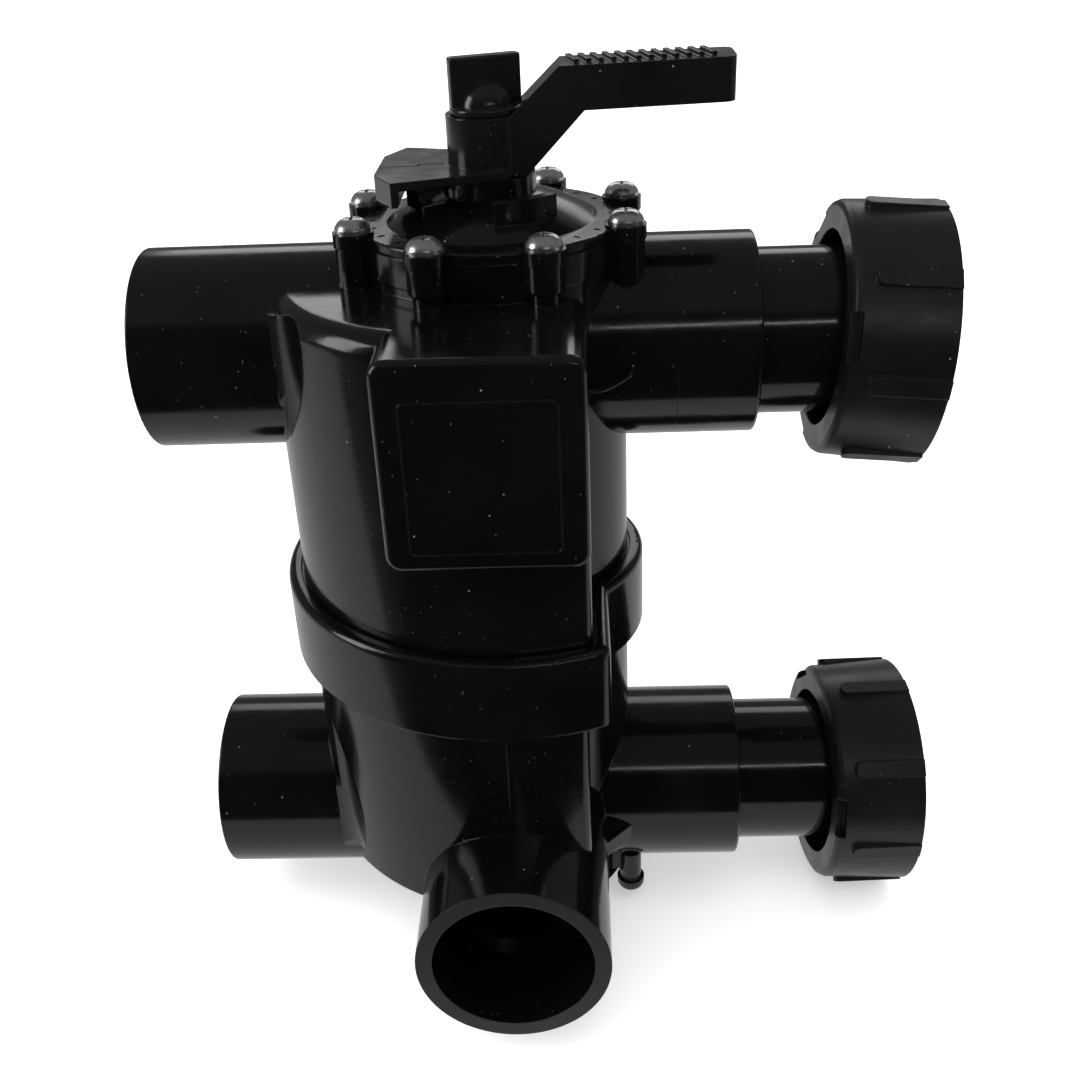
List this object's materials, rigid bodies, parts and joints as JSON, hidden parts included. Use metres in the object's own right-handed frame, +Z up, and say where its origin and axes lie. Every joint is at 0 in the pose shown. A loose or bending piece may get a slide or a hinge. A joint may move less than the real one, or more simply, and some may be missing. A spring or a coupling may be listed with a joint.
{
  "type": "two-level diverter valve",
  "caption": "Black plastic multiport pool diverter valve with a cranked lever, screwed lid, plain glue sockets and two union nuts.",
  "frame": {"origin": "centre of the flat underside of the lower housing, on the stem axis", "axes": "+Z up along the stem; +X along the two union ports; -Y out of the waste port"},
  "size_m": [0.2936, 0.166, 0.3531],
  "materials": {
    "housing": "semi-gloss black moulding",
    "lid": "semi-gloss black moulding",
    "handle": "satin black moulding",
    "tailpiece": "semi-gloss black moulding",
    "nut": "satin black moulding",
    "seal": "matt black rubber",
    "inner_plastic": "matt black moulding",
    "screw_steel": "bright stainless steel"
  },
  "bodies": {
    "housing": {"lower_housing": "housing", "upper_housing": "housing", "crossover_divider": "inner_plastic", "deck_divider": "inner_plastic", "deck_divider_oring": "seal", "lid": "lid", "lid_oring": "seal", "lid_screws": "screw_steel", "stem_bush": "inner_plastic", "stem_oring": "seal", "bottom_bush": "inner_plastic", "upper_tailpiece": "tailpiece", "lower_tailpiece": "tailpiece", "upper_union_oring": "seal", "lower_union_oring": "seal", "drain_gasket": "seal"},
    "rotor": {"stem": "inner_plastic", "stem_circlip": "screw_steel", "upper_diverter": "inner_plastic", "upper_diverter_seal": "seal", "upper_diverter_pin": "screw_steel", "lower_diverter": "inner_plastic", "lower_diverter_seal": "seal", "lower_diverter_pin": "screw_steel", "handle": "handle", "lock_stud": "screw_steel"},
    "knob": {"lock_knob": "handle"},
    "upper_nut": {"upper_union_nut": "nut"},
    "lower_nut": {"lower_union_nut": "nut"},
    "drain": {"drain_cap": "handle"}
  },
  "joints": [
    {"name": "handle_turn", "type": "hinge", "parent": "housing", "child": "rotor", "pos_m": [0, 0, 0.29], "axis": [0, 0, 1], "range_deg": [0, 90]},
    {"name": "knob_turn", "type": "hinge", "parent": "rotor", "child": "knob", "pos_m": [0, 0, 0.322], "axis": [0, 0, 1], "range_deg": [0, 360]},
    {"name": "upper_nut_spin", "type": "hinge", "parent": "housing", "child": "upper_nut", "pos_m": [0.13845, 0, 0.23985], "axis": [0.9959, 0.007, -0.0906], "continuous": true},
    {"name": "lower_nut_spin", "type": "hinge", "parent": "housing", "child": "lower_nut", "pos_m": [0.13845, 0, 0.03635], "axis": [0.9966, 0.0749, -0.0332], "continuous": true},
    {"name": "drain_cap_turn", "type": "hinge", "parent": "housing", "child": "drain", "pos_m": [0.047, -0.025, 0], "axis": [0, 0, 1], "range_deg": [0, 1080]}
  ]
}
